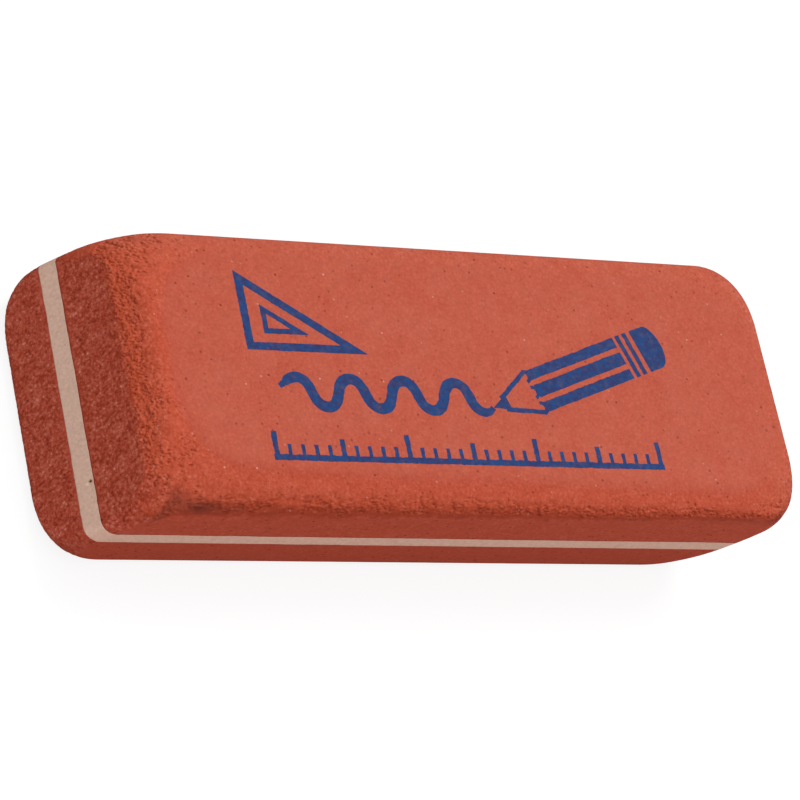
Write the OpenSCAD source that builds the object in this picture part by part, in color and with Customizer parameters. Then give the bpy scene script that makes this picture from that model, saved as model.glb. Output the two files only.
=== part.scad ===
// A rubber eraser: two red rubber layers with a thin off-white layer vulcanised
// between them. It lies on its underside, with its length along X, its width
// along Y and its printed face up. Both ends lean the same way, so the side
// view is a parallelogram, and tumbling has rounded every edge and corner.
// All sizes are in millimetres.

/* [Block] */
// Length at half height, from one leaning end to the other
body_len = 50.3; // [40:0.1:70]
// Width across the two long sides
body_w = 20; // [16:0.1:30]
// Lean of both ends away from upright, in degrees
end_lean = 30.3; // [0:0.1:40]

/* [Layers] */
// Thickness of the lower red layer
lower_t = 3.6; // [3:0.1:6]
// Thickness of the off-white layer
middle_t = 1.2; // [0.6:0.1:3]
// Thickness of the upper red layer
upper_t = 4.6; // [3:0.1:7]

/* [Worn edges] */
// Round along the four long edges
side_r = 1.2; // [0.3:0.1:2.5]
// Round of the blunt edge of each end
blunt_r = 2.6; // [0.5:0.1:4]
// Round of the sharp edge of each end
sharp_r = 0.6; // [0.2:0.1:1.5]
// Corner radius, seen from above, at half height
corner_mid_r = 1; // [0.4:0.1:3]
// Corner radius, seen from above, at the two large faces
corner_face_r = 5.4; // [3:0.1:6]
// How long a corner stays crisp before it opens towards a face
corner_hold = 3.4; // [1:0.1:5]

/* [Smoothness] */
// Steps round each corner
corner_steps = 12; // [4:1:16]
// Sections through each red layer
layer_steps = 16; // [6:1:20]

/* [Hidden] */

red_rubber = "#c65b49";
white_rubber = "#e9dcd0";

body_h = lower_t + middle_t + upper_t;
middle_z = lower_t;
upper_z = lower_t + middle_t;
slope = tan(end_lean);

// How far a round of radius r moves a wall in at height h above the flat that
// the wall meets. The wall leans over the flat by k for each unit of height:
// k is above 0 at a sharp edge, 0 at a square one and below 0 at a blunt one.
function inset(r, k, h) =
    let (reach = sqrt(1 + k * k))
    h >= r * (1 + k / reach) ? 0 : r * (k + reach) - sqrt(max(0, r * r - (r - h) * (r - h))) - k * h;

// Corner radius at height z: small at half height and wide at both faces.
function corner_r(z) =
    corner_mid_r + (corner_face_r - corner_mid_r) * pow(abs(2 * z / body_h - 1), corner_hold);

// A quarter turn about centre c, starting at angle a.
function quarter(c, r, a) =
    [for (i = [0:corner_steps]) let (t = a + 90 * i / corner_steps) c + r * [cos(t), sin(t)]];

// The block's outline at height z: a rectangle with round corners that slides
// along X with height, and draws in where the edges are worn.
function outline(z) =
    let (
        below = z,
        above = body_h - z,
        y = body_w / 2 - inset(side_r, 0, below) - inset(side_r, 0, above),
        left = -body_len / 2 + inset(sharp_r, slope, below) + inset(blunt_r, -slope, above),
        right = body_len / 2 - inset(blunt_r, -slope, below) - inset(sharp_r, slope, above),
        r = min(corner_r(z), y - 0.1),
        flat = concat(
            quarter([right - r, y - r], r, 0),
            quarter([left + r, y - r], r, 90),
            quarter([left + r, -y + r], r, 180),
            quarter([right - r, -y + r], r, 270)
        )
    )
    [for (p = flat) [p[0] + slope * (z - body_h / 2), p[1], z]];

// A closed skin over outlines of equal length, listed from the bottom up.
module loft(outlines) {
    n = len(outlines[0]);
    last = len(outlines) - 1;
    polyhedron(
        points = [for (o = outlines) each o],
        faces = concat(
            [[for (i = [0:n - 1]) i]],
            [[for (i = [n - 1:-1:0]) last * n + i]],
            [for (j = [0:last - 1], i = [0:n - 1])
                let (k = (i + 1) % n) each [
                    [j * n + i, (j + 1) * n + i, (j + 1) * n + k],
                    [j * n + i, (j + 1) * n + k, j * n + k]
                ]
            ]
        ),
        convexity = 2
    );
}

// Sections crowd towards the printed face, where the edge rounds are.
module upper_layer() color(red_rubber)
    loft([for (i = [0:layer_steps]) outline(upper_z + upper_t * sin(90 * i / layer_steps))]);

module middle_layer() color(white_rubber)
    loft([for (i = [0:2]) outline(middle_z + middle_t * i / 2)]);

// Sections crowd towards the underside.
module lower_layer() color(red_rubber)
    loft([for (i = [0:layer_steps]) outline(lower_t * (1 - cos(90 * i / layer_steps)))]);

upper_layer();
middle_layer();
lower_layer();
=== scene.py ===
import math

import bpy
import numpy as np
from mathutils import Matrix, Vector


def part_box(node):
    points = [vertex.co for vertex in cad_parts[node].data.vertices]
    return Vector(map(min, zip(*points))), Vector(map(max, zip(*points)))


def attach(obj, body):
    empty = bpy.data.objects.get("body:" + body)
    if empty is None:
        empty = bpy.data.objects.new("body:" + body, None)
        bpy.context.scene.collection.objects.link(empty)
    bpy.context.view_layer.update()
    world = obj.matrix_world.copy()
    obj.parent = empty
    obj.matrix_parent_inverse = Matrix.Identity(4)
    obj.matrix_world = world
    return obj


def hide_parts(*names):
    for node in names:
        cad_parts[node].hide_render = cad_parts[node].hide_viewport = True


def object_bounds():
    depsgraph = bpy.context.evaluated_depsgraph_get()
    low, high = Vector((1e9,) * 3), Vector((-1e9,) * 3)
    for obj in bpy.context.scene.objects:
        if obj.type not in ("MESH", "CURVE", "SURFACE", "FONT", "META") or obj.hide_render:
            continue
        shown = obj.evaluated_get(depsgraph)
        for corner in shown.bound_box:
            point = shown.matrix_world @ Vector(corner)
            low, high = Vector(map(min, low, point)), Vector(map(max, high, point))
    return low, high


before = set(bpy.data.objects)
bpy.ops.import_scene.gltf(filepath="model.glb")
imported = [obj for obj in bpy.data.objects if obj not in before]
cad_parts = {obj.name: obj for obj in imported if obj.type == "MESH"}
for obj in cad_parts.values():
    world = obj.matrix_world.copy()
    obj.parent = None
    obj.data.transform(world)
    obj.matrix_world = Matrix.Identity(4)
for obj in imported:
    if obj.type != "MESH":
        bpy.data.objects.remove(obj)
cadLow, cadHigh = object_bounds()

# A slanted block eraser, lying on its underside: two red rubber layers with an off-white
# one between them, tumbled until every edge is worn, and stamped in blue on its upper face.
# Shapes are worked out in millimetres and go into the meshes in metres.

blockHeight = cadHigh.z * 1000
blockWidth = (cadHigh.y - cadLow.y) * 1000
blockCentre = (cadLow + cadHigh) / 2
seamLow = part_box("middle_layer")[0].z * 1000   # underside of the off-white layer
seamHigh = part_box("middle_layer")[1].z * 1000  # and its top

blockShape = {
    "length": 50.3,      # at half height
    "lean": 30.3,        # of both ends, in degrees from upright
    "sideRound": 1.2,    # the four long edges
    "sideFullness": 2.6,  # 2 is a true round, more keeps the edge crisper
    "bluntRound": 2.6,   # upper left and lower right edge
    "sharpRound": 0.6,   # lower left and upper right edge
    "cornerMid": 1.0,    # corner seen from above, at half height
    "cornerBack": 0.6,   # the same for the back left corner, which is crisper
    "cornerFace": 5.4,   # and at the two large faces
    "cornerHold": 3.4,   # how long a corner stays crisp before it opens towards a face
    "cornerLeast": 0.3,  # smallest corner of the rings that step in over a face
    "straightLeast": 0.1,  # and half of the straight stretch that an end always keeps
    # the upper front edge is worn rounder, in two steps: mm on its radius, and where a step
    # starts and is full, from -1 at the right end to 1 at the left
    "frontWear": ((0.5, -0.75, 0.0), (0.6, 0.1, 0.7)),
    "wearSoftens": (0.9, 0.5),  # fullness that it loses for each mm of this, and at most
    "columnsLeft": 316,  # columns from the middle of a long side to the middle of the left end
    "columnsRight": 250,
    "seamWander": 0.05,  # how far the seams wander up and down
    "seamParts": ((0.45, 2.6), (0.3, 0.8), (0.35, 0.32)),  # shares and sizes of that noise
    "redFrom": 0.25,     # mm from a seam at which the red layers' wear is whole
    "hidden": 0.2,       # rings this near a seam lie against the next layer
    "faceBow": 0.5,      # bow of the innermost ring of a face at its two ends
    "faceDrop": 0.012,   # room for the ink film under the block's full height
}


def linear(hexColour):
    # sRGB hex to the linear values that the nodes take
    shares = [int(hexColour[i:i + 2], 16) / 255 for i in (1, 3, 5)]
    return tuple(s / 12.92 if s <= 0.04045 else ((s + 0.055) / 1.055) ** 2.4 for s in shares) + (1.0,)


def ease(value, start, end):
    # 0 before start, 1 after end, and a smooth S between them
    t = np.clip((value - start) / (end - start), 0, 1)
    return t * t * (3 - 2 * t)


def cellShare(cell, seed):
    # scrambles whole-number cell places into even fractions from 0 to 1
    mixed = cell[..., 0] * 374761393 + cell[..., 1] * 668265263 + cell[..., 2] * 1440662683
    mixed = (mixed + seed * 97531) & 0xffffffff
    mixed = ((mixed ^ (mixed >> 13)) * 1274126177) & 0xffffffff
    return ((mixed ^ (mixed >> 16)) & 0xffffff) / 0xffffff


def lumps(point, size, seed):
    # random heights at the corners of a lattice of the given size, eased and blended
    # between the eight corners round each point, from -1 to 1
    place = point / np.asarray(size, float)
    cell = np.floor(place).astype(np.int64)
    t = place - cell
    t = t * t * (3 - 2 * t)
    total = 0
    for corner in np.ndindex(2, 2, 2):
        step = np.array(corner)
        weight = np.prod(np.where(step == 1, t, 1 - t), axis=-1)
        total = total + weight * cellShare(cell + step, seed)
    return 2 * total - 1


def lumpSum(point, parts):
    # adds up such lumps, each part given as its share, its size in mm and its seed
    return sum(share * lumps(point, size, seed) for share, size, seed in parts)


def dips(point, size, seed):
    # the same lumps as depths from 0 to 1
    return 0.5 + 0.5 * lumps(point, size, seed)


def seedDistance(point, size, seed):
    # one seed point in each cell of a lattice of the given size: gives the distance from each
    # place to the nearest of them, in cells
    place = point / np.asarray(size, float)
    cell = np.floor(place).astype(np.int64)
    nearest = np.full(place.shape[:-1], 9.0)
    for corner in np.ndindex(3, 3, 3):
        home = cell + np.array(corner) - 1
        spot = home + np.stack([cellShare(home, seed + i) for i in range(3)], axis=-1)
        nearest = np.minimum(nearest, np.linalg.norm(spot - place, axis=-1))
    return nearest


def roundInset(radius, lean, rise):
    # how far a round draws a wall in at a height above the flat it meets; lean is the wall's
    # move over the flat for each unit of height, so it is above 0 at a sharp edge
    reach = math.sqrt(1 + lean * lean)
    arc = np.sqrt(np.maximum(radius ** 2 - (radius - rise) ** 2, 0))
    return np.where(rise >= radius * (1 + lean / reach), 0, radius * (lean + reach) - arc - lean * rise)


def edgeWear(share, signX, signY):
    # mm that wear adds to the radius of the upper front edge, more of it towards the left end
    added = sum(most * ease(-signX * share, start, full) for most, start, full in blockShape["frontWear"])
    return np.where(signY < 0, added, 0)


def sideInset(rise, wear=0):
    # the same for the upright long sides, on a superellipse that is fuller than a circle;
    # wear adds to its radius and takes away its fullness
    lost, most = blockShape["wearSoftens"]
    radius = blockShape["sideRound"] + wear
    power = blockShape["sideFullness"] - np.minimum(lost * wear, most)
    drop = np.clip(1 - rise / radius, 0, 1)
    return radius * (1 - (1 - drop ** power) ** (1 / power))


def columnSet():
    # columns run anticlockwise from the middle of the right end, and each quarter of the way
    # round is the share of the path from the middle of a long side to the middle of an end
    right, left = blockShape["columnsRight"], blockShape["columnsLeft"]
    toSide = lambda count: 1 - np.arange(count) / count
    toEnd = lambda count: np.arange(count) / count
    share = np.concatenate([toSide(right), toEnd(left), toSide(left), toEnd(right)])
    signX = np.repeat([1.0, -1.0, 1.0], [right, 2 * left, right])
    signY = np.repeat([1.0, -1.0], [right + left, left + right])
    return share, signX, signY


def blockPoint(share, signX, signY, z, draw):
    # A rectangle with round corners at each height. It slides along X with height, its sides
    # draw in at the worn edges, and its corners open from half height towards both faces.
    # draw shrinks it further, for the rings on the flat faces. Each quarter runs along the
    # long side, round the corner and along the end, at even spacing.
    s = blockShape
    slope, above = math.tan(math.radians(s["lean"])), blockHeight - z
    left = -s["length"] / 2 + roundInset(s["sharpRound"], slope, z)
    left = left + roundInset(s["bluntRound"], -slope, above)
    right = s["length"] / 2 - roundInset(s["bluntRound"], -slope, z)
    right = right - roundInset(s["sharpRound"], slope, above)
    halfX = (right - left) / 2 - draw
    halfY = blockWidth / 2 - sideInset(z) - sideInset(above, edgeWear(share, signX, signY)) - draw
    opening = np.abs(2 * z / blockHeight - 1) ** s["cornerHold"]
    middle = np.where((signX < 0) & (signY > 0), s["cornerBack"], s["cornerMid"])
    corner = middle + (s["cornerFace"] - middle) * opening - draw
    least = s["cornerLeast"]
    corner = np.clip(corner, least, np.maximum(halfY - s["straightLeast"], least))
    alongX, alongY, bend = halfX - corner, halfY - corner, corner * math.pi / 2
    way = share * (alongX + alongY + bend)
    turn = np.clip((way - alongX) / corner, 0, math.pi / 2)
    x = (left + right) / 2 + slope * (z - blockHeight / 2)
    x = x + signX * (np.minimum(way, alongX) + corner * np.sin(turn))
    y = signY * (alongY + corner * np.cos(turn) - np.maximum(way - alongX - bend, 0))
    point = np.stack([x, y, np.broadcast_to(z, x.shape)], axis=-1)
    return point, np.stack([signX * np.sin(turn), signY * np.cos(turn)], axis=-1)


def blockNormal(share, signX, signY, z, draw):
    # crosses the step along a ring with the step up the wall; flat rings point straight out
    tiny = 1e-3
    at = lambda share, z: blockPoint(share, signX, signY, z, draw)[0]
    along = (at(share + tiny, z) - at(share - tiny, z)) * (-signX * signY)[..., None]
    lift = np.where(z > blockHeight / 2, -tiny, tiny)
    up = (at(share, z + lift) - at(share, z)) * np.sign(lift)[..., None]
    normal = np.cross(along, up)
    normal = normal / np.maximum(np.linalg.norm(normal, axis=-1, keepdims=True), 1e-12)
    flat = np.stack([0 * z, 0 * z, np.sign(z - blockHeight / 2)], axis=-1)
    return np.where((draw > 0)[..., None], flat, normal)


def sidesOf(facing):
    # how much a wall faces the left end, the right end, the front and the back, from 0 to 1
    x, y = facing[..., 0], facing[..., 1]
    return [np.clip(side, 0, 1) ** 2 for side in (-x, x, -y, y)]


wearSizes = {
    "grain": 0.24,       # grains of the tumbled ends, mm
    "grainDepth": 0.038,
    "grainTurned": (0.05, 0.34),  # ends start and are all grain where turned along X this far
    "faceDepth": 0.006,  # unevenness of the moulded faces
    # crumbs of the torn upper edges: size in mm and how far they stand up
    "crumbs": (((0.30, 0.23, 0.25), 0.049), ((0.16, 0.12, 0.13), 0.053)),
    "crumbSlope": (-0.40, 0.40),  # part of the noise that makes a crumb's flank
    "crumbTilt": 0.036,  # depth of the broader unevenness under them
    "hollow": 0.022,     # depth of the hollows between groups of crumbs
    "proud": 0.06,       # how far the crumbs at the left end stand out again
    "bulge": 0.03,       # how far the rim of the torn band stands proud of the round
    "flatten": 0.92,     # how much the left round is worn flat above its rim
    "patches": ((0.4, 0.8, 31), (0.6, 0.35, 37)),  # noise that opens a tear here and there
    "leeStep": 0.07,     # step towards the lamp over which the painted lamp shading is measured, mm
    "leeRise": 0.05,     # and the rise over that step that makes it full
    "sink": 0.60,        # how far the block sinks under a torn edge's own skin
    "sinkInset": 0.15,   # which starts this far inside that skin's borders, mm
}

tornBand = {
    # how far up the ends and the long sides are turned where a band starts and is full
    "endTurn": (0.60, 0.74),
    "sideTurn": (0.38, 0.58),
    "wander": ((0.07, 0.25, 15), (0.10, 0.5, 17), (0.10, 1.5, 19)),
    "crumbsLead": 0.05,        # crumbs open this much sooner than the tone turns
    "shoulder": (0.80, 0.97),  # and close again over the shoulder,
    "closed": 0.9,             # all but a tenth
    "rimFrom": (-0.26, 0.02),  # the rim's painted shade comes up from start
    "rimTo": (-0.06, 0.26),    # and dies out from full
    # at the left end: unevenness of the foot, its rise towards the front, and how much lower
    # it lies at the back corner and on the worn upright edge there
    "footWander": 1.6,
    "footRise": (0.03, 4),
    "backCorner": (0.3, 0.9, (5.0, 7.5)),
    "backEdge": (3.2, (8.7, 9.5), (4.7, 5.6)),
    # heights above the foot between which the tone turns, the crumbs open, and they close
    "leftTone": (-0.35, 0.30),
    "leftCrumbs": (-0.50, 0.10),
    "leftShoulder": (0.80, 1.32),
    "leftPale": (0.45, (0.6, 1.3)),    # share of the tone lost higher up at the left end
    "frontPale": (0.5, (0.80, 0.99)),  # and on the front shoulder
    "frontShoulderShade": (0.20, (0.6, 0.9)),    # painted shade on the front shoulder
    # strength of the tear at the left, right, front, back, back corner and round the lower face
    "strength": (1, 0.25, 0.75, 0.20, 0.3, 0.2),
    "edgeLess": 0.35,                  # what it loses on the worn upright edge
    "reach": (0.35, 0.5, 0.35),        # mm onto the face at the left, right and long sides
    "reachWander": (0.35, 1.6, 23),
    "whole": (0.78, 0.80, 0.40),       # turn at which the bloom and its painted sheen start: left, front, elsewhere
    "polish": (0.8, 0.75),             # bloom and painted sheen rubbed off beside an edge, and how far in mm
}

roundFoot = blockHeight - blockShape["bluntRound"] * (1 - math.sin(math.radians(blockShape["lean"])))


def wearOf(point, normal, facing, draw):
    # granular: 1 on the ends and fading to 0 where the corners have turned to the long sides
    # torn: 1 where fresh rubber shows on the upper edge rounds, fading over the face,
    # strongest at the left end and along the front, faint elsewhere
    # crumbly: 1 where crumbs stand open, in a narrower band on the same rounds
    # rim: 1 just below the torn front edge, where painted shade stands for the shadow under the crumbs
    # bloom: pale dust and a painted sheen, 1 on the two large faces as they left the mould, and 0
    # beside the worn edges
    b = tornBand
    y, z, upward, onWall = point[..., 1], point[..., 2], normal[..., 2], draw == 0
    granular = ease(np.abs(normal[..., 0]), *wearSizes["grainTurned"])
    toLeft, toRight, toFront, toBack = sidesOf(facing)
    across, backCorner = toLeft + toRight, 4 * toLeft * toBack
    edgeDrop, alongEdge, upEdge = b["backEdge"]
    backEdge = toLeft * ease(y, *alongEdge) * ease(z, *upEdge)

    # on the long sides and the right end a band goes by how far the round has turned up
    wander = lumpSum(point, b["wander"]) * onWall
    steep = np.abs(upward) + wander
    start, full = (end * across + side * (1 - across) for end, side in zip(b["endTurn"], b["sideTurn"]))
    rises, opens = ease(steep, start, full), ease(steep, start - b["crumbsLead"], full - b["crumbsLead"])
    opens = opens * (1 - b["closed"] * ease(steep, *b["shoulder"]))
    # the rim band just below a torn edge, where shade is painted
    rim = ease(steep, start + b["rimFrom"][0], start + b["rimFrom"][1])
    rim = rim * (1 - ease(steep, full + b["rimTo"][0], full + b["rimTo"][1]))

    # at the left end it goes by the height above the foot of the round
    raised = z + b["footWander"] * wander - roundFoot
    level = raised + b["footRise"][0] * (y - b["footRise"][1]) - toLeft * toFront
    drop, more, heights = b["backCorner"]
    level = level + backCorner * (drop + more * ease(z, *heights)) + edgeDrop * backEdge
    toEnd = np.clip(toLeft + backCorner, 0, 1)
    rises = rises + toEnd * (ease(level, *b["leftTone"]) - rises)
    leftOpens = ease(level, *b["leftCrumbs"]) * (1 - b["closed"] * ease(raised, *b["leftShoulder"]))
    opens = opens + toEnd * (leftOpens - opens)
    rim = rim * (1 - toEnd) ** 2

    # how far all of it runs onto the face, and how strong it is on each side
    reach = b["reach"][0] * toLeft + b["reach"][1] * toRight + b["reach"][2] * (toFront + toBack)
    reach = reach * (1 + lumpSum(point, [b["reachWander"]]))
    fade = np.exp(-(draw / reach) ** 2)
    left, right, front, back, corner, foot = b["strength"]
    strength = toLeft * (left - b["edgeLess"] * backEdge) + right * toRight + front * toFront
    strength = np.where(upward > 0, strength + back * toBack + corner * backCorner, foot)
    torn = rises * strength * fade
    torn = torn * (1 - b["leftPale"][0] * toLeft * ease(raised, *b["leftPale"][1]) * (1 - backEdge))
    torn = torn * (1 - b["frontPale"][0] * toFront * ease(steep, *b["frontPale"][1]))
    # painted shade below the torn edge, and more of it on the front shoulder
    rim = rim * strength * (upward > 0) * onWall
    rim = rim + b["frontShoulderShade"][0] * toFront * ease(upward, *b["frontShoulderShade"][1]) * np.exp(-draw ** 2)
    atLeft, atFront, elsewhere = b["whole"]
    whole = atLeft * toLeft + atFront * toFront + elsewhere * (toRight + toBack)
    rubbed = b["polish"][0] * (toLeft + toFront) * np.exp(-(draw / b["polish"][1]) ** 2)
    # pale dust and a painted sheen on the two large faces
    bloom = ease(np.abs(upward), whole, 0.25 + 0.75 * whole) * (1 - rubbed)
    crumbly = opens * strength * fade
    return granular, np.clip(torn, 0, 1), np.clip(crumbly, 0, 1), np.clip(rim, 0, 1), bloom


tornEdge = {
    # rows up the round and over the face, and columns for each quarter of the way round
    "left": (86, 16, 1000),
    "front": (56, 18, 680),
    "backStart": 0.60,   # share of the back left quarter where the band starts
    "frontStop": 0.86,   # share of the front right quarter where it stops
    "split": 0.75,       # share of the front left quarter where the two pieces meet
    # degrees round from facing left where its ends fade, below 0 towards the back; the front's
    # are written with the sign turned
    "backFade": (-86, -62),
    "frontFade": (-166, -145),
    "startTurn": (7, 20),     # degrees up the left round where it starts, and fewer by
                              # this many at the back corner
    "faceReach": (0.8, 0.3),  # mm onto the face, and what the left end adds
    "footFade": (0.02, 0.30),  # mm over which it sets in at its foot
    "faceFade": (0.02, 0.25),  # and ends on the face
    # how deep its border dips and how proud it lies, mm, and what each loses on the flat face
    "dip": (0.034, 0.031),
    "lie": (0.004, 0.003),
    "room": 0.004,       # kept from the block's box, mm
}


def tornSpan(share, signX, signY):
    # how far the torn upper edge runs: its foot on the wall and its reach onto the face in mm,
    # the radius of the round it follows, and a fade from 1 to 0 at the two ends of the band,
    # which starts in the back left corner, runs round the left end and stops at the far
    # end of the front
    t = tornEdge
    facing = blockPoint(share, signX, signY, np.full(share.shape, blockHeight), 0 * share)[1]
    toLeft, toBack = sidesOf(facing)[::3]
    backCorner = 4 * toLeft * toBack
    angle = np.degrees(np.arctan2(-facing[..., 1], -facing[..., 0]))
    angle = np.where(angle < -120, angle + 360, angle)
    fade = ease(angle, *t["backFade"]) * ease(-angle, *t["frontFade"])
    side = blockShape["sideRound"] + edgeWear(share, signX, signY)
    radius = side + (blockShape["bluntRound"] - side) * toLeft
    start = np.radians(t["startTurn"][0] * toLeft - t["startTurn"][1] * backCorner)
    return {"radius": radius, "start": start, "foot": blockHeight - radius * (1 - np.sin(start)),
            "reach": t["faceReach"][0] + t["faceReach"][1] * toLeft, "fade": fade}


def tornCover(span, z, draw, inset=0.0):
    # 1 inside the torn band and 0 at its borders, which may be drawn in by an inset in mm
    fade = ease(span["fade"], 2 * inset, 1.0) if inset else span["fade"]
    foot, reach = span["foot"] + inset, span["reach"] - inset
    low, high = tornEdge["footFade"], tornEdge["faceFade"]
    fade = fade * ease(z, foot + low[0], foot + low[1])
    return fade * ease(-draw, high[0] - reach, high[1] - reach)


def crumbDepth(point):
    # depth in mm round crumbs that stand up like small islands: a smooth noise turned into
    # low steps, in two scales, on a broader unevenness
    w = wearSizes
    depth = w["crumbTilt"] * dips(point, (0.6, 0.4, 0.4), 85)
    for i, (size, drop) in enumerate(w["crumbs"]):
        depth = depth + drop * ease(lumps(point, size, 81 + i), *w["crumbSlope"])
    return depth


towardsLamp = (0.55, 0.45, 0.70)  # from the block to its main lamp


def tornRelief(point, normal, facing, crumbly, rim, inner):
    # crumbs, opening in patches, fewer of them the weaker the tear is. The painted lamp shading
    # is above 0 on the side of a crumb that slopes away from the lamp, where it paints shade, and
    # below 0 on the other side, where it paints a highlight. Above its foot the left round is also
    # worn flat, as a hump that is steep at first and runs out at the crest.
    w = wearSizes
    toLeft = sidesOf(facing)[0]
    opened = ease(lumpSum(point, w["patches"]) + 1.3 * crumbly, 0.20, 1.0) * ease(crumbly, 0.0, 0.3)
    here = crumbDepth(point)
    towards = crumbDepth(point + w["leeStep"] * np.array(towardsLamp))
    depth = w["hollow"] * dips(point, 0.55, 5) * crumbly - w["bulge"] * rim
    depth = depth + opened * (here - w["proud"] * toLeft)
    # the painted shading: above 0 where a crumb slopes away from the lamp, below 0 where it faces it
    lee = opened * np.clip((here - towards) / w["leeRise"], -1, 1)
    turnedUp = np.arccos(np.clip(normal[..., 2], -1, 1)) / math.radians(88.5 - blockShape["lean"])
    worn = w["flatten"] * turnedUp ** 2 * np.clip(1 - turnedUp, 0, 1) * toLeft
    return depth * ease(inner, 0.1, 0.7) + worn * inner, lee * ease(inner, 0.0, 0.6)


def wornSurface(point, normal, facing, draw, red, inner, cover=None):
    # moves each point inwards along its normal: grains on the ends and a slight unevenness on
    # the moulded faces; the block itself sinks below the torn edge, whose own finer skin is
    # the one given a cover, carries the crumbs and dips under the block's at its borders
    w = wearSizes
    granular, torn, crumbly, rim, bloom = wearOf(point, normal, facing, draw)
    grainy = 0.7 * ease(seedDistance(point, w["grain"], 29), 0.2, 0.9) + 0.3 * dips(point, 0.7, 7)
    calm = 1 - 0.7 * ease(facing[..., 0], 0.2, 0.8) * ease(point[..., 2], 7.8, 9.0)
    depth = calm * granular * (1 - 0.6 * crumbly) * w["grainDepth"] * grainy
    depth = depth * (0.3 + 0.7 * red) + w["faceDepth"] * dips(point, 0.9, 13)
    lee = 0 * torn
    if cover is None:
        depth = depth + w["sink"] * inner
    else:
        relief, lee = tornRelief(point, normal, facing, crumbly, rim, inner)
        depth = depth + relief
    moved = point - normal * depth[..., None]
    moved[..., 2] = np.minimum(moved[..., 2], blockHeight - blockShape["faceDrop"])
    if cover is not None:
        flat = ease(normal[..., 2], 0.97, 0.999)
        (dip, lessDip), (lie, lessLie) = tornEdge["dip"], tornEdge["lie"]
        border = (dip - lessDip * flat) * (1 - ease(cover, 0, 0.15 + 0.15 * flat)) - lie + lessLie * flat
        moved = moved - normal * border[..., None]
    return moved, {"granular": granular * red, "torn": torn * red, "rim": rim * red, "bloom": bloom,
                   "lee": lee, "grime": grimeAndShadeOf(point, facing), "deeper": sideShadeOf(point, normal)}


def addObject(name, data):
    thing = bpy.data.objects.new(name, data)
    bpy.context.scene.collection.objects.link(thing)
    return thing


def meshPiece(name, points, faces, marks, smooth):
    # points in mm; smooth says which faces are shaded smooth
    mesh = bpy.data.meshes.new(name)
    mesh.from_pydata((points * 0.001).tolist(), [], faces)
    for mark, values in marks.items():
        layer = mesh.attributes.new(mark, "FLOAT", "POINT")
        layer.data.foreach_set("value", values.ravel().astype(np.float32))
    mesh.polygons.foreach_set("use_smooth", smooth)
    mesh.update()
    print(name, len(mesh.vertices), "points", sum(len(f) - 2 for f in faces), "triangles")
    return addObject(name, mesh)


def quadGrid(rows, columns, rowsRing=False):
    # quads between the points of a grid whose columns, or else whose rows, run round in a ring
    lines = np.arange(rows - (not rowsRing)), np.arange(columns - rowsRing)
    row, column = np.meshgrid(*lines, indexing="ij")
    above, beside = (row + 1) % rows, (column + 1) % columns
    corners = (row, column), (row, beside), (above, beside), (above, column)
    return np.stack([y * columns + x for y, x in corners], axis=-1).reshape(-1, 4)


def closedSkin(name, grid, marks, flatRows):
    # rows of columns become quads; the first and the last row are closed by strips that join
    # each column to its mirror image across the block's middle plane; flatRows are the hidden
    # rows against the next layer, kept apart in shading from the wall
    rows, columns = grid.shape[:2]
    quads = quadGrid(rows, columns)
    j = np.arange(1, columns // 2 - 1)
    strip = np.stack([j, j + 1, columns - j - 1, columns - j], axis=-1)
    ends = np.array([[0, 1, columns - 1], [columns // 2 - 1, columns // 2, columns // 2 + 1]])
    top = (rows - 1) * columns
    faces = np.concatenate([quads, strip + top, strip[:, ::-1]]).tolist()
    faces = faces + (ends + top).tolist() + ends[:, ::-1].tolist()
    smooth = np.ones(len(faces), bool)
    smooth[:len(quads)] = np.repeat(~flatRows, columns)
    return meshPiece(name, grid.reshape(-1, 3), faces, marks, smooth)


def edgeSkin(name, grid, marks):
    # an open grid closed into a sliver: its last row joins its first inside the block, and a
    # flat face closes it at both ends
    rows, columns = grid.shape[:2]
    quads = quadGrid(rows, columns, True).tolist()
    first = (np.arange(rows) * columns).tolist()
    last = (np.arange(rows) * columns + columns - 1)[::-1].tolist()
    smooth = np.arange(len(quads) + 2) < (rows - 1) * (columns - 1)
    return meshPiece(name, grid.reshape(-1, 3), quads + [first, last], marks, smooth)


def seamHeight(share, signX, signY, level, seed):
    # a seam wanders a little up and down round the block, the same for both layers it joins
    z = np.full((1, share.shape[-1]), level)
    place = blockPoint(share, signX, signY, z, 0 * share[None])[0]
    parts = [(part, size, seed + i) for i, (part, size) in enumerate(blockShape["seamParts"])]
    return level + blockShape["seamWander"] * lumpSum(place, parts)


nickShape = {
    # a small nick in the off-white layer on the left end, with a pale lip beside it: the middle,
    # the size and the depth of each, mm
    "nick": ((-25.2, -6.15, 4.55), (0.5, 0.13, 0.13), 0.16),
    "lip": ((-25.3, -6.30, 4.36), (0.5, 0.14, 0.16), -0.03),
}


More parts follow.
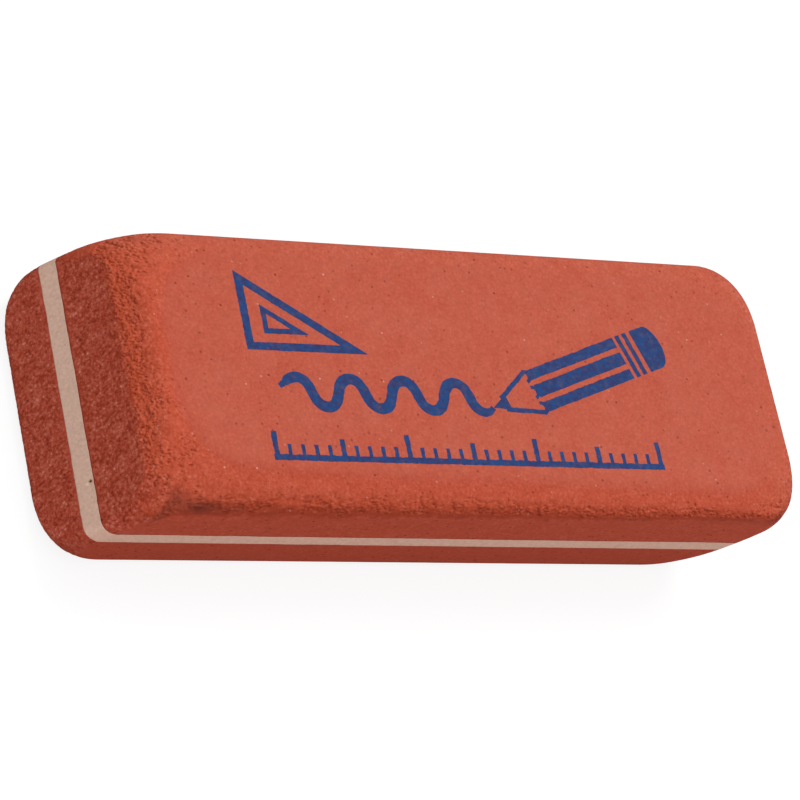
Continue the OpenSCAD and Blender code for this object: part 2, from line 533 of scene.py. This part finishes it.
def rubberLayer(name, lowLevels, highLevels, steps, inner):
    # lowLevels and highLevels are the wall's heights at its foot and top, for every column;
    # steps runs from 0 to 1 up the wall; inner lists how far the rings of each cap draw in,
    # and whether the layer is red
    share, signX, signY = (a[None] for a in columnSet())
    wall = lowLevels + (highLevels - lowLevels) * steps[:, None]
    foot = np.repeat(lowLevels, len(inner["foot"]), axis=0)
    top = np.repeat(highLevels, len(inner["top"]), axis=0)
    z = np.concatenate([foot, wall, top])
    draw = np.concatenate([inner["foot"], np.zeros(len(steps)), inner["top"]])[:, None] + 0 * share
    point, facing = blockPoint(share, signX, signY, z, draw)
    # the innermost ring of a face is bowed out at both ends, so its closing strips lie side by side
    last = faceRings[-1]
    bow = blockShape["faceBow"] * (draw == last) * (1 - (point[..., 1] / (blockWidth / 2 - last)) ** 2)
    point[..., 0] += bow * np.sign(point[..., 0])
    normal = blockNormal(share, signX, signY, z, draw)
    fromSeam = np.minimum(np.abs(z - seamLow), np.abs(z - seamHigh))
    red = ease(fromSeam, 0, blockShape["redFrom"]) if inner["red"] else np.zeros_like(z)
    deep = tornCover(tornSpan(share, signX, signY), z, draw, wearSizes["sinkInset"])
    moved, marks = wornSurface(point, normal, facing, draw, red, deep)
    # the rings hidden between two layers stay where they are
    buried = (fromSeam < blockShape["hidden"]) & (draw > 0)
    moved = np.where(buried[..., None], point, moved)
    if not inner["red"]:
        dip = 0
        # each part's mark also tints it: painted shade inside the nick, a pale lip beside it
        for part, (middle, size, depth) in nickShape.items():
            marks[part] = np.exp(-(((point - np.array(middle)) / np.array(size)) ** 2).sum(axis=-1))
            dip = dip + depth * marks[part]
        moved = moved - normal * dip[..., None]
        marks["stained"] = longSide(normal)
    return closedSkin(name, moved, marks, buried[:-1, 0] | buried[1:, 0])


def longSide(normal):
    # 1 on the long sides, and fading round the corners
    return ease(np.abs(normal[..., 1]), 0.3, 0.8)


def sideShadeOf(point, normal):
    # painted shade on the long sides, deepest towards the foot of the block
    low = ease(-point[..., 2], -4.9, -3.2) * (0.75 + 0.25 * ease(-point[..., 2], -3, -0.5))
    return longSide(normal) * (0.25 + 0.75 * low)


def grimeAndShadeOf(point, facing):
    # brown rubbings with painted shade under the overhanging torn front edge, most of all below
    # its left end; each pair is where a factor sets in and is whole, on places in mm
    cloud = ease(lumpSum(point, ((0.6, (3.2, 1.4, 0.9), 41), (0.4, 0.6, 43))), -0.35, 0.35)
    turning = np.clip(-point[..., 0] - 19, 0, 5)
    height = point[..., 2] + 0.7 * np.clip(turning - 2.2, 0, 3) ** 2
    front = ease(-facing[..., 1], 0.20, 0.5) * ease(height, 7.65, 8.35) * (1 - ease(height, 8.45, 8.95))
    ends = ease(-point[..., 0], 15.5, 21.0) * (1 - ease(turning, 3.2, 4.0))
    ends = ends + 0.35 * ease(point[..., 0], 17, 23)
    return np.clip(front * (0.10 * cloud + ends * (0.65 + 0.35 * cloud)), 0, 1)


share, signX, signY = columnSet()
lowSeam = seamHeight(share, signX, signY, seamLow, 61)
highSeam = seamHeight(share, signX, signY, seamHigh, 67)
# rings step in over a face, close together beside its edge and wider further in
faceRings = np.concatenate([np.arange(1, 22) * 0.1, 2.1 + np.arange(1, 6) * 0.25, [4.2, 5.0]])
hiddenRings = np.array([0.4, 3.0, 8.0])
quarter = np.sin(np.linspace(0, math.pi / 2, 52))
upperLayer = rubberLayer("upper_red_rubber", highSeam, np.full_like(highSeam, blockHeight), quarter,
                         {"foot": hiddenRings[::-1], "top": faceRings, "red": True})
middleLayer = rubberLayer("middle_white_rubber", lowSeam, highSeam, np.linspace(0, 1, 25),
                          {"foot": hiddenRings[::-1], "top": hiddenRings, "red": False})
lowerLayer = rubberLayer("lower_red_rubber", np.zeros_like(lowSeam), lowSeam, 1 - quarter[::-1],
                         {"foot": faceRings[::2][::-1], "top": hiddenRings, "red": True})
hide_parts("upper_layer")
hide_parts("middle_layer")
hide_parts("lower_layer")
print("rubber layers made")


def tornPiece(name, counts, runs):
    # runs lists the stretches of the way round, as the quarter's two signs and its shares; the
    # rows climb the round at an even angle and then step in over the face
    wallRows, faceRows, perQuarter = counts
    parts = []
    for sideX, sideY, start, stop in runs:
        part = np.linspace(start, stop, max(2, int(round(abs(stop - start) * perQuarter)) + 1))
        part = part[1:] if parts else part
        parts.append([part, np.full(len(part), sideX), np.full(len(part), sideY)])
    share, signX, signY = np.concatenate(parts, axis=1)[:, None]
    span = tornSpan(share, signX, signY)
    climb = np.linspace(0, 1, wallRows)[:, None]
    angle = span["start"] + (math.pi / 2 - span["start"]) * climb
    wall = blockHeight - span["radius"] * (1 - np.sin(angle))
    inwards = span["reach"] * (np.arange(1, faceRows + 1) / faceRows)[:, None]
    z = np.concatenate([wall, np.full_like(inwards, blockHeight)])
    draw = np.concatenate([np.zeros_like(wall), inwards])
    point, facing = blockPoint(share, signX, signY, z, draw)
    normal = blockNormal(share, signX, signY, z, draw)
    cover, deep = (tornCover(span, z, draw, inset) for inset in (0.0, wearSizes["sinkInset"]))
    moved, marks = wornSurface(point, normal, facing, draw, np.ones_like(z), deep, cover)
    room = tornEdge["room"]
    moved = np.clip(moved, np.array(cadLow) * 1000 + room, np.array(cadHigh) * 1000 - room)
    return edgeSkin(name, moved, marks)


backStart, split, frontStop = (tornEdge[name] for name in ("backStart", "split", "frontStop"))
tornLeft = tornPiece("torn_left_edge", tornEdge["left"],
                     [(-1.0, 1.0, backStart, 1.0), (-1.0, -1.0, 1.0, split)])
tornFront = tornPiece("torn_front_edge", tornEdge["front"],
                      [(-1.0, -1.0, split, 0.0), (1.0, -1.0, 0.0, frontStop)])
print("torn edges made")

printShape = {
    "thin": 0.42,       # thin strokes, mm
    "bold": 0.80,       # the drawn wave
    "top": blockHeight - 0.002,
    "sunk": 0.045,      # how far the film reaches down into the rubber
    "lift": 0.0009,     # height between strokes that cross
    "step": 0.06,       # spacing of points along a stroke
    "ragged": 0.032,    # unevenness of a stroke's edge,
    "raggedFrom": 0.2,  # for strokes wider than this
    "wave": {"count": 245, "step": 0.1, "length": 6.3, "swing": 72, "end": (3.35, -2.3)},
}


def turned(points, angle, origin):
    # turns points by an angle in degrees and moves them to an origin
    a = math.radians(angle)
    turn = np.array([[math.cos(a), math.sin(a)], [-math.sin(a), math.cos(a)]])
    return np.asarray(points, float) @ turn + origin


def curveEdges(path, width):
    # both edges of a smooth stroke: half the width to each side of the path, square to it
    heading = np.gradient(path, axis=0)
    heading = heading / np.maximum(np.linalg.norm(heading, axis=1, keepdims=True), 1e-9)
    side = np.stack([-heading[:, 1], heading[:, 0]], axis=-1)
    half = np.broadcast_to(np.asarray(width, float) / 2, len(path))[:, None]
    return path + side * half, path - side * half


def cornerEdges(corners, width, closed=False):
    # both edges of a stroke with straight runs: each corner is mitred, so the edges meet on
    # the line that halves it, and every run gets evenly spaced points
    corners = np.asarray(corners, float)
    loop = np.vstack([corners, corners[:1]]) if closed else corners
    run = np.diff(loop, axis=0)
    long = np.linalg.norm(run, axis=1, keepdims=True)
    run = run / long
    side = np.stack([-run[:, 1], run[:, 0]], axis=-1)
    before = np.vstack([side[-1:] if closed else side[:1], side])
    after = np.vstack([side, side[:1] if closed else side[-1:]])
    mitre = (before + after) / (1 + (before * after).sum(axis=1, keepdims=True)) * width / 2
    lengths = np.concatenate([[0], np.cumsum(long)])
    even = np.linspace(0, lengths[-1], int(lengths[-1] / printShape["step"]) + 2)
    at = np.unique(np.concatenate([even, lengths]))
    along = lambda edge: np.stack([np.interp(at, lengths, edge[:, i]) for i in (0, 1)], axis=-1)
    return along(loop + mitre), along(loop - mitre)


def inkStroke(edges, seed, lift):
    # a flat ribbon of ink between two edges, each pushed in and out a little by noise, with a
    # top, an underside and thin walls between them
    left, right = edges
    across = left - right
    wide = np.linalg.norm(across, axis=1, keepdims=True)
    across = across / np.maximum(wide, 1e-9)
    level = lambda edge, z: np.column_stack([edge, np.full(len(edge), z)])

    def rough(edge, k):
        uneven = lumps(level(edge, 3.1 * k), 0.2, k) + 0.6 * lumps(level(edge, 5.3 * k), 0.9, k + 50)
        return printShape["ragged"] * uneven[:, None] * (wide > printShape["raggedFrom"])

    left, right = left + across * rough(left, seed), right - across * rough(right, seed + 1)
    top, low = printShape["top"] - lift, blockHeight - printShape["sunk"]
    grid = np.stack([level(left, low), level(left, top), level(right, top), level(right, low)], axis=1)
    ends = np.array([[3, 2, 1, 0], 4 * len(left) - 4 + np.arange(4)])
    return grid.reshape(-1, 3), np.concatenate([quadGrid(len(left), 4), ends])


def printedMark():
    # a pencil that has drawn a wave, a set square and a row of scale ticks, all in strokes;
    # strokes that cross lie a hair's breadth apart in height
    thin, bold = printShape["thin"], printShape["bold"]
    strokes = []
    add = lambda edges, level=0: strokes.append((edges, level))

    # pencil, with x from its tip along it and y across it, mm: body with two bare lines left
    # along it, scalloped edge, sharpened cone, lead, ferrule and rubber
    tip, tilt = (3.4, -2.3), 20.0
    at = lambda points: turned(points, tilt, tip)
    reach = np.linspace(0, 1, 90)[:, None]
    for y, wide in ((1.25, 0.78), (0.0, 0.96), (-1.25, 0.78)):
        add(curveEdges(at((1 - reach) * (4.0, y) + reach * (12.3, y)), wide))
    bow = np.linspace(0, math.pi, 14)
    for y in (1.25, 0.0, -1.25):
        scallop = np.column_stack([4.02 - 0.36 * (1 - np.sin(bow)), y + 0.40 * np.cos(bow)])
        add(curveEdges(at(scallop), 0.26), 3)
    for side in (1, -1):
        add(cornerEdges(at([(0.9, 0.42 * side), (3.75, 1.58 * side)]), thin * 0.8), 1)
    share = np.linspace(0, 1, 16)
    add(curveEdges(at(np.column_stack([share * 1.35, 0 * share])), 0.06 + 1.12 * share), 2)
    for x in (12.75, 13.4):
        add(cornerEdges(at([(x, -1.66), (x, 1.66)]), 0.36), 1)
    share = np.linspace(0, 1, 34)
    add(curveEdges(at(np.column_stack([13.95 + 2.0 * share, 0 * share])),
                   3.3 * np.sqrt(np.clip(1 - np.clip(2 * share - 1, 0, 1) ** 2.4, 0.06, 1))), 1)

    # wave: the heading swings as a cosine along the path, so the bends stay round, and the
    # stroke is thinner at both ends
    w = printShape["wave"]
    path = np.arange(w["count"]) * w["step"]
    heading = math.radians(w["swing"]) * np.cos(path * 2 * math.pi / w["length"]) * ease(path, -2.0, 2.5)
    drift = np.cumsum(np.stack([np.cos(heading), np.sin(heading)], axis=-1) * w["step"], axis=0)
    drift = drift - drift[-1] + np.array(w["end"])
    swell = bold * (0.45 + 0.55 * ease(path, 0, 1.2)) * (0.55 + 0.45 * ease(path[-1] - path, 0, 1.5))
    add(curveEdges(drift, swell), 4)

    # set square with its cut-out
    add(cornerEdges([(-14.4, 1.6), (-6.6, 1.6), (-14.4, 6.6)], bold * 0.72, True), 0)
    add(cornerEdges([(-13.0, 2.75), (-10.5, 2.75), (-13.0, 4.35)], thin * 0.9, True), 0)

    # scale: a tick each millimetre, longer at five and at ten
    for i in range(31):
        tall = 1.75 if i % 10 == 0 else 1.3 if i % 5 == 0 else 0.85
        wide = thin * (0.9 if i % 5 == 0 else 0.66)
        add(cornerEdges([(-14.0 + i, -6.45), (-14.0 + i, -6.3 + tall)], wide), 1)
    add(cornerEdges([(-14.25, -6.4), (16.25, -6.4)], thin), 0)

    points, faces, start = [], [], 0
    for i, (edges, level) in enumerate(strokes):
        ribbon, ribbonFaces = inkStroke(edges, 100 + 2 * i, printShape["lift"] * level)
        points.append(ribbon)
        faces.append(ribbonFaces + start)
        start += len(ribbon)
    faces = np.concatenate(faces).tolist()
    print("printed mark of", len(strokes), "strokes")
    return meshPiece("printed_mark", np.concatenate(points), faces, {}, np.zeros(len(faces), bool))


printMark = printedMark()
for piece in (upperLayer, middleLayer, lowerLayer, tornLeft, tornFront, printMark):
    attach(piece, "root")


def addNode(tree, kind, values=None):
    # adds a shader node: each value sets a property or an input, or feeds an input if it is a
    # socket or another node, which stands for its first live output
    node = tree.nodes.new("ShaderNode" + kind)
    for name, value in (values or {}).items():
        if isinstance(value, bpy.types.Node):
            value = next(socket for socket in value.outputs if socket.enabled)
        if isinstance(value, bpy.types.NodeSocket):
            tree.links.new(value, node.inputs[name])
        elif isinstance(name, int) or name in node.inputs:
            node.inputs[name].default_value = value
        elif name == "stops":
            for i, (at, colour) in enumerate(value):
                stop = node.color_ramp.elements[i] if i < 2 else node.color_ramp.elements.new(at)
                stop.position, stop.color = at, linear(colour)
        else:
            setattr(node, name, value)
    return node


def emptyNodes(owner):
    # gives a material or a world empty nodes, and returns what adds to them
    owner.use_nodes = True
    owner.node_tree.nodes.clear()
    return lambda kind, values=None: addNode(owner.node_tree, kind, values)


def newMaterial(name):
    material = bpy.data.materials.new(name)
    return material, emptyNodes(material)


def perMetre(millimetres):
    # noise and cell scales count features per metre, so a feature size in mm turns to this
    return 1000.0 / millimetres


def speckShare(add, place, cell, edge, pick):
    # one possible speck in each cell of that size in mm, fading over an edge given in cells,
    # and only where the cell's own random number is picked
    grid = add("TexVoronoi", {"Scale": perMetre(cell), "Vector": place}).outputs
    spot = {"From Min": edge[0], "From Max": edge[1], "To Min": 1.0, "To Max": 0.0}
    spot = add("MapRange", {**spot, "Value": grid["Distance"]})
    chosen = add("MapRange", {**pick, "Value": grid["Color"]})
    return add("Math", {"operation": "MULTIPLY", 0: spot, 1: chosen})


def finishMaterial(add, look, tone, layers, height):
    # lays the look's colours over a first tone in turn, each by a share: a source as it is, or
    # mapped from 0 at one value of the source to the colour's largest share at another; then
    # the dull surface, with its fine relief as a bump
    for name, share, *ends in layers:
        colour, most = look[name]
        if ends:
            span = {"From Min": ends[0], "From Max": ends[1], "To Max": most}
            share = add("MapRange", {**span, "Value": share})
        tone = add("Mix", {"data_type": "RGBA", 0: share, 6: tone, 7: linear(colour)})
    bump = add("Bump", {**look["bump"], "Height": height})
    skin = add("BsdfPrincipled", {**look["surface"], "Base Color": tone, "Normal": bump})
    add("OutputMaterial", {"Surface": skin})


mattRubber = {"Roughness": 0.88, "Specular IOR Level": 0.12, "IOR": 1.52}

redRubberLook = {
    # tones from the pits to the proudest grains
    "grains": ((0.10, "#7b2614"), (0.36, "#a83e28"), (0.52, "#c2533d"), (0.68, "#d46d57"),
               (0.90, "#f0ad97")),
    "sizes": (0.20, 0.24, 0.8),   # of grains, of fine noise and of broader drifts, mm
    # how much darker a grain is at its rim, how far grains differ, how much the drifts add
    "parts": (-0.22, 0.22, 0.40),
    "middle": 0.705,              # middle of all this
    "contrast": (0.27, 0.95, 0.90),  # on whole skin, on the ends and in a torn band
    "open": (0.10, 1.0),          # relief of whole skin and of worn rubber
    # colours laid over the grain, with their largest shares
    "torn": ("#d85c3b", 0.60),    # fresh rubber in the torn bands is more orange
    "deeper": ("#9c3a28", 0.55),  # painted shade on the long sides, most at their foot
    "rim": ("#86280e", 0.65),     # painted shade just below a torn edge, under the overhanging crumbs
    "bloom": ("#dba68f", 0.12),   # pale dust and a painted sheen on the faces that met the mould
    "bloomLeast": 0.05,           # its least share there,
    "bloomSize": 2.2,             # and the size of its clouds, mm
    "crevice": ("#7a230d", 0.56),  # painted shade on the side of a crumb away from the lamp
    "clean": ("#ea7f5b", 0.22),   # painted highlight on the side of a crumb that faces the lamp
    "soot": ("#2c120a", 0.85),    # dark specks in the mix
    "pinhole": ("#5e1e10", 0.65),  # painted shade in the tiny pit where a grain has dropped out
    "fleck": ("#f0cdb8", 0.50),   # pumice grains
    "grime": ("#5a2a22", 0.62),   # brown rubbings and painted shade under the torn front edge
    # specks: cell and radius in mm, and how rare they are where worn and on whole skin
    "specks": {"soot": (1.6, 0.14, 0.56, 0.56), "pinhole": (0.5, 0.12, 0.44, 0.58),
               "fleck": (0.6, 0.09, 0.70, 0.70)},
    "bump": {"Strength": 1.0, "Distance": 0.00009},  # m
    "surface": mattRubber,
}


def redRubberMaterial():
    # Natural rubber filled with pumice, vulcanised in a press and then tumbled: matt, with a
    # dusty bloom under a painted sheen and sparse specks on the moulded faces, and an open grain
    # where it is worn.
    look = redRubberLook
    material, add = newMaterial("redPumiceRubberTumbled")
    place = add("TexCoord").outputs["Object"]
    mark = {name: add("Attribute", {"attribute_name": name}).outputs["Fac"]
            for name in ("granular", "torn", "rim", "bloom", "lee", "grime", "deeper")}

    # grain: each grain has its own tone and is darker round its rim, with fine noise and
    # broader drifts, strong where the rubber is worn and faint on whole skin
    grainSize, fineSize, wideSize = (perMetre(size) for size in look["sizes"])
    cells = add("TexVoronoi", {"Scale": grainSize, "Vector": place}).outputs
    grain = add("TexNoise", {"Scale": fineSize, "Detail": 3.0, "Roughness": 0.7, "Vector": place})
    wide = add("TexNoise", {"Scale": wideSize, "Detail": 2.0, "Vector": place})
    for source, part in zip((cells["Distance"], cells["Color"], wide), look["parts"]):
        grain = add("Math", {"operation": "MULTIPLY_ADD", 0: source, 1: part, 2: grain})
    centred = add("Math", {"operation": "SUBTRACT", 0: grain, 1: look["middle"]})
    whole, ends, inTear = look["contrast"]
    contrast = add("MapRange", {"To Min": whole, "To Max": ends, "Value": mark["granular"]})
    contrast = add("MapRange", {"To Min": contrast, "To Max": inTear, "Value": mark["torn"]})
    height = add("Math", {"operation": "MULTIPLY_ADD", 0: centred, 1: contrast, 2: 0.5})
    tone = add("ValToRGB", {"stops": look["grains"], 0: height})

    # colours that follow a mark, the bloom with its painted sheen in soft clouds where the skin is
    # whole, and on the crumbs of a torn edge painted shade on the side away from the lamp and a
    # painted highlight on the other
    # the torn tone, then painted shade low on the long sides and just below a torn edge
    layers = [(name, mark[name], 0.0, 1.0) for name in ("torn", "deeper", "rim")]
    cloud = add("TexNoise", {
        "Scale": perMetre(look["bloomSize"]), "Detail": 5.0, "Roughness": 0.65, "Vector": place})
    # the bloom's pale dust with its painted sheen, in soft clouds
    dustAndSheenShare = {"From Min": 0.3, "From Max": 0.7, "To Min": look["bloomLeast"], "To Max": look["bloom"][1]}
    dustAndSheenShare = add("MapRange", {**dustAndSheenShare, "Value": cloud})
    dustAndSheenShare = add("Math", {"operation": "MULTIPLY", 0: dustAndSheenShare, 1: mark["bloom"]})
    # painted shade and a painted highlight on the crumbs, by their slope towards the lamp
    layers += [("bloom", dustAndSheenShare), ("crevice", mark["lee"], 0.05, 0.75), ("clean", mark["lee"], -0.05, -0.75)]

    # specks: pinholes, painted as the shade in tiny pits, are more frequent beside the worn edges,
    # where the bloom and its painted sheen are gone
    for name, (cell, radius, rareWorn, rareWhole) in look["specks"].items():
        rare = add("MapRange", {"To Min": rareWorn, "To Max": rareWhole, "Value": mark["bloom"]})
        pick = {"From Min": rare, "From Max": 0.95, "To Max": look[name][1]}
        layers.append((name, speckShare(add, place, cell, (radius * 0.5 / cell, radius / cell), pick)))
    # brown rubbings and painted shade under the torn front edge
    layers.append(("grime", mark["grime"], 0.0, 1.0))

    # relief: the same grain, open where worn and nearly closed elsewhere
    worn = add("Math", {"operation": "MAXIMUM", 0: mark["granular"], 1: mark["torn"]})
    depth = add("MapRange", {"To Min": look["open"][0], "To Max": look["open"][1], "Value": worn})
    relief = add("Math", {"operation": "MULTIPLY", 0: centred, 1: depth})
    finishMaterial(add, look, tone, layers, relief)
    return material


whiteRubberLook = {
    "tone": "#f6cbb6",
    # colours laid over it, with their largest shares
    "shade": ("#cdaa95", 0.6),
    "wrinkle": ("#a38574", 0.22),
    "speck": ("#8a5346", 0.5),
    "mottleSize": 0.22, "wrinkleSize": 0.45, "speckCell": 0.45,  # mm
    "stained": ("#b0503f", 0.16),  # red rubbed into it along the sides
    "lip": ("#fbe0b4", 0.9),       # beside the nick
    # painted shade inside the nick
    "nick": ("#55392c", 1.0),
    "bump": {"Strength": 0.6, "Distance": 0.00002},  # m
    "surface": mattRubber,
}


def whiteRubberMaterial():
    # Chalk-filled natural rubber, laid between the red sheets before vulcanising: matt, warm
    # off-white, tinted by the red next to it, with fine grey speckles.
    look = whiteRubberLook
    material, add = newMaterial("whiteChalkRubberCut")
    place = add("TexCoord").outputs["Object"]
    mottle = add("TexNoise", {
        "Scale": perMetre(look["mottleSize"]), "Detail": 4.0, "Roughness": 0.6, "Vector": place})
    # shallow wrinkles that run up the layer
    squeezed = add("Mapping", {"Scale": (0.5, 1.0, 0.35), "Vector": place})
    ripple = add("TexNoise", {
        "Scale": perMetre(look["wrinkleSize"]), "Detail": 3.0, "Distortion": 0.6, "Vector": squeezed})
    pick = {"From Min": 0.75, "From Max": 1.0, "To Max": look["speck"][1]}
    layers = [("shade", mottle, 0.36, 0.74), ("wrinkle", ripple, 0.58, 0.76),
              ("speck", speckShare(add, place, look["speckCell"], (0.08, 0.18), pick))]
    for name in ("stained", "lip", "nick"):
        mark = add("Attribute", {"attribute_name": name}).outputs["Fac"]
        layers.append((name, mark, 0.25, 0.8))
    finishMaterial(add, look, linear(look["tone"]), layers, mottle)
    return material


inkLook = {
    "ink": "#17437c",
    # colours laid over it, with their largest shares
    "deepInk": ("#2b3263", 1.0),  # where the film lies thick in a hollow
    "thinInk": ("#55506e", 0.7),  # where the rubber shows through the film
    "bare": ("#b04a38", 1.0),     # pinholes
    "bump": {"Strength": 0.4, "Distance": 0.00003},  # m
    "surface": {"Roughness": 0.7, "Specular IOR Level": 0.15},
}


def inkMaterial():
    # Oil-bound stamping ink on matt rubber: a thin dull film that takes the rubber's grain,
    # slightly uneven, with pinholes where a grain stood clear of the stamp.
    look = inkLook
    material, add = newMaterial("blueStampingInk")
    place = add("TexCoord").outputs["Object"]
    cover, pool = (add("TexNoise", {
        "Scale": perMetre(size), "Detail": detail, "Roughness": 0.6, "Vector": place})
        for size, detail in ((0.5, 4.0), (0.32, 3.0)))
    hole = speckShare(add, place, 0.5, (0.08, 0.16), {"From Min": 0.80, "From Max": 0.95})
    layers = [("deepInk", pool, 0.40, 0.62), ("thinInk", cover, 0.5, 0.8), ("bare", hole)]
    finishMaterial(add, look, linear(look["ink"]), layers, cover)
    return material


redRubber = redRubberMaterial()
for piece in (upperLayer, lowerLayer, tornLeft, tornFront):
    piece.data.materials.append(redRubber)
middleLayer.data.materials.append(whiteRubberMaterial())
printMark.data.materials.append(inkMaterial())
print("materials made")

# size and gap under the block in m; the grey that the sheet throws back onto the block; and
# of the white that is seen of it, what glows and what the block's shadow can darken
tableLook = {"size": 3.0, "gap": 0.00003, "bounce": 0.25, "glow": 0.83, "shadowShare": 0.25}


def backdropRays(add):
    # 1 where the backdrop itself is seen, straight, in a gloss or through glass, 0 for its light
    path = add("LightPath").outputs
    seen = path["Is Camera Ray"]
    for ray in ("Is Glossy Ray", "Is Transmission Ray"):
        seen = add("Math", {"operation": "MAXIMUM", 0: seen, 1: path[ray]})
    return seen


def deskTop():
    # a plain pale sheet under the block, seen as white apart from the block's soft shadow
    half, z = tableLook["size"] / 2, -tableLook["gap"]
    mesh = bpy.data.meshes.new("desk_sheet")
    corners = [(-half, -half, z), (half, -half, z), (half, half, z), (-half, half, z)]
    mesh.from_pydata(corners, [], [(0, 1, 2, 3)])
    material, add = newMaterial("palePaperSheet")
    plain, shadow = (add("BsdfDiffuse", {"Color": (tableLook[name],) * 3 + (1.0,)})
                     for name in ("bounce", "shadowShare"))
    glow = add("Emission", {"Color": (1.0, 1.0, 1.0, 1.0), "Strength": tableLook["glow"]})
    white = add("AddShader", {0: shadow, 1: glow})
    mixed = add("MixShader", {0: backdropRays(add), 1: plain, 2: white})
    add("OutputMaterial", {"Surface": mixed})
    mesh.materials.append(material)
    addObject("desk_sheet", mesh)


lightSet = {
    "dome": 0.60,
    "lamps": {
        # towards the lamp from the block, distance in m, size in m, share of full light
        "key": (towardsLamp, 0.8, 0.40, 0.50),
        "fill": ((-0.20, -0.92, 0.33), 0.9, 0.60, 0.24),
    },
}


def studioLight():
    # a white dome and two soft square lamps; a lamp's share is what it adds to a surface that
    # faces it, where 1 shows a colour as it is written
    world = bpy.data.worlds.new("studio")
    bpy.context.scene.world = world
    add = emptyNodes(world)
    seen = backdropRays(add)
    level = add("MapRange", {"To Min": lightSet["dome"], "To Max": 1.0, "Value": seen})
    sky = add("Background", {"Color": (1.0, 1.0, 1.0, 1.0), "Strength": level})
    add("OutputWorld", {"Surface": sky})
    for name, (towards, distance, size, share) in lightSet["lamps"].items():
        lamp = bpy.data.lights.new(name, "AREA")
        lamp.shape, lamp.size = "SQUARE", size
        lamp.energy = share * math.pi ** 2 * distance ** 2
        holder = addObject(name, lamp)
        ray = Vector(towards).normalized()
        holder.location = blockCentre + ray * distance
        holder.rotation_euler = ray.to_track_quat("Z", "Y").to_euler()


cameraSet = {
    "azimuth": -52.70, "elevation": 50.55, "roll": 47.47,  # degrees
    "distance": 0.2418, "aim": (-0.00083, 0.00036, 0.0),   # m, aim from the block's centre
    "lens": 159.68, "sensor": 36.0, "clip": (0.01, 20.0),
}


def placeCamera():
    # back points from the block to the camera; the picture's right and up are turned by roll
    c = cameraSet
    a, e, r = (math.radians(c[k]) for k in ("azimuth", "elevation", "roll"))
    back = Vector((math.sin(a) * math.cos(e), -math.cos(a) * math.cos(e), math.sin(e)))
    right = (-back).cross(Vector((0, 0, 1))).normalized()
    up = right.cross(-back)
    turnedRight = right * math.cos(r) + up * math.sin(r)
    turnedUp = up * math.cos(r) - right * math.sin(r)
    data = bpy.data.cameras.new("camera")
    data.lens, data.sensor_width = c["lens"], c["sensor"]
    data.clip_start, data.clip_end = c["clip"]
    camera = addObject("camera", data)
    spot = blockCentre + Vector(c["aim"]) + back * c["distance"]
    turn = Matrix((turnedRight, turnedUp, back)).transposed().to_4x4()
    camera.matrix_world = Matrix.Translation(spot) @ turn
    bpy.context.scene.camera = camera


deskTop()
studioLight()
placeCamera()
bpy.context.scene.view_settings.view_transform = "Standard"
bpy.context.view_layer.update()
print("scene ready")
